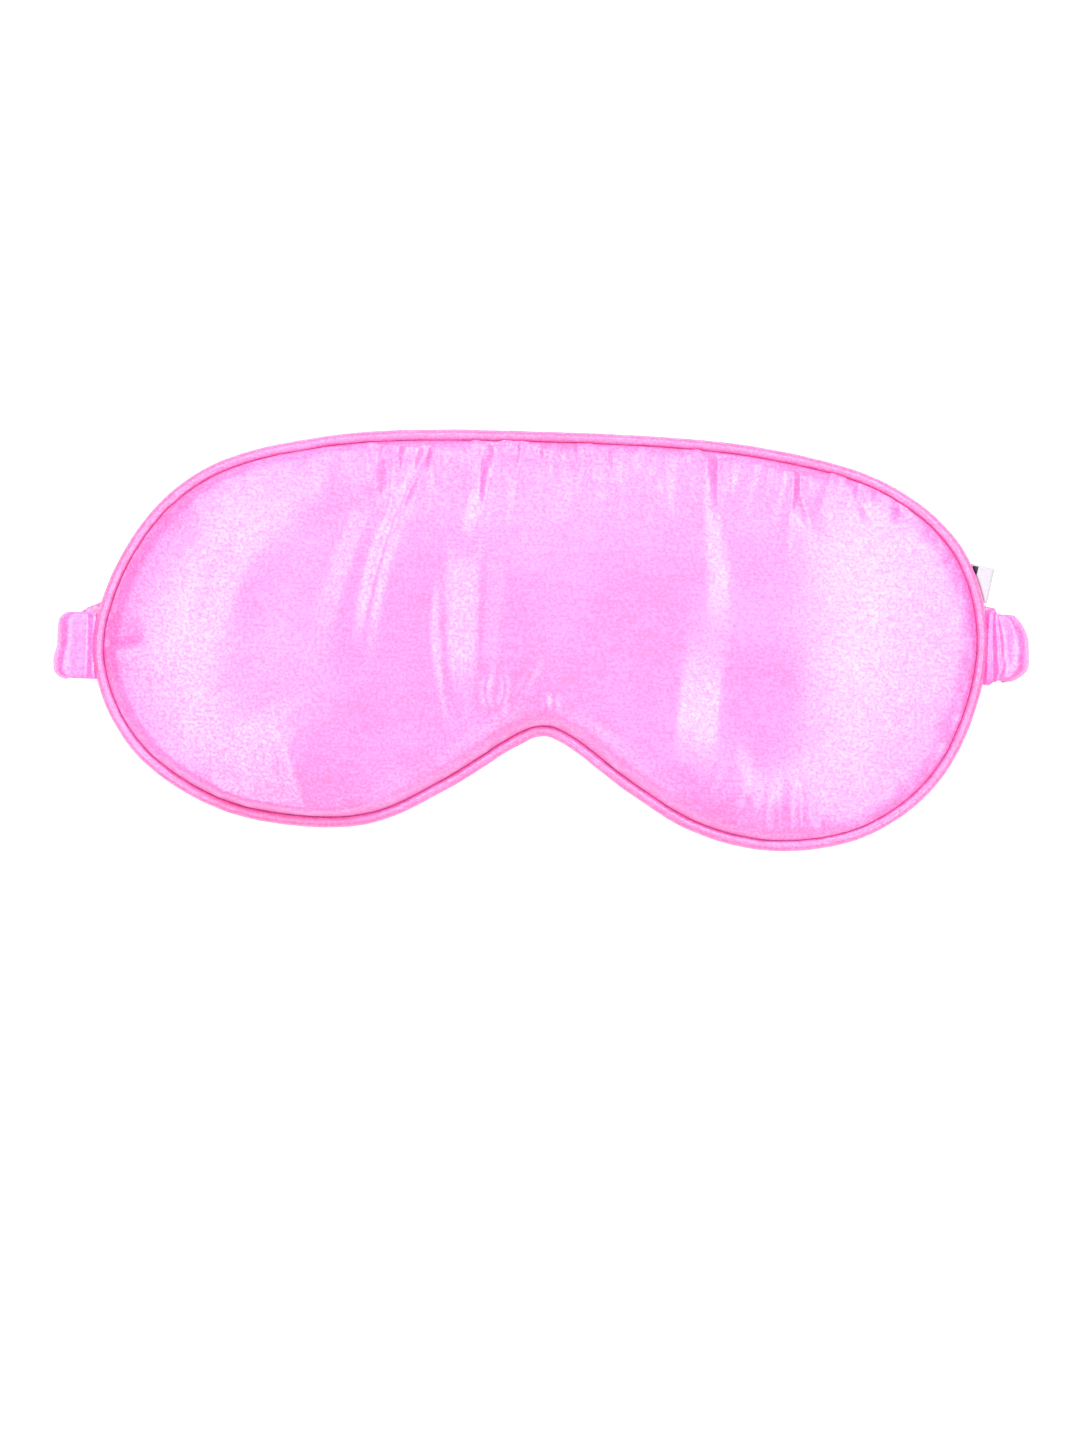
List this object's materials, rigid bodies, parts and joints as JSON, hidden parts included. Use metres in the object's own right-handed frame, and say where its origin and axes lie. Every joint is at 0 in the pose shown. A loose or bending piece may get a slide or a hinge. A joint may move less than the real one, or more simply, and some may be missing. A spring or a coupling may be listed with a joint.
{
  "type": "sleep eye mask",
  "caption": "Padded satin sleep mask with a corded piping edge, a nose notch, a ruched elastic strap folded behind it and a blank side label.",
  "frame": {"origin": "on the surface the mask lies on, under the middle of its box", "axes": "+Z out of the front panel, +X to the right as the front is seen, +Y to the forehead edge"},
  "size_m": [0.229, 0.0964, 0.016],
  "materials": {
    "front_satin": "satin",
    "back_satin": "satin",
    "piping_satin": "satin",
    "strap_satin": "satin",
    "wadding": "matte",
    "lining": "matte",
    "cotton_cord": "matte",
    "thread": "satin",
    "elastic": "matte",
    "label_tape": "satin"
  },
  "bodies": {
    "mask": {"front_panel": "front_satin", "back_panel": "back_satin", "front_wadding": "wadding", "back_wadding": "wadding", "blackout_lining": "lining", "piping_cover": "piping_satin", "piping_cord": "cotton_cord", "perimeter_stitches": "thread", "closing_stitches": "thread", "strap_root_left": "strap_satin", "strap_root_right": "strap_satin", "strap_bartacks_left": "thread", "strap_bartacks_right": "thread"},
    "strap": {"strap_casing": "strap_satin", "strap_elastic": "elastic"},
    "label": {"care_label": "label_tape"}
  },
  "joints": [
    {"name": "strap_pull", "type": "slide", "parent": "mask", "child": "strap", "axis": [0, 0, -1], "range_m": [0, 0.12], "stiffness_N_per_m": 25, "deforming": ["strap_casing", "strap_elastic"]},
    {"name": "label_flap", "type": "hinge", "parent": "mask", "child": "label", "pos_m": [0.10212, 0.01665, 0.00525], "axis": [0.39, -0.9208, 0], "range_deg": [-60, 60], "stiffness_Nm_per_rad": 0.00002}
  ]
}
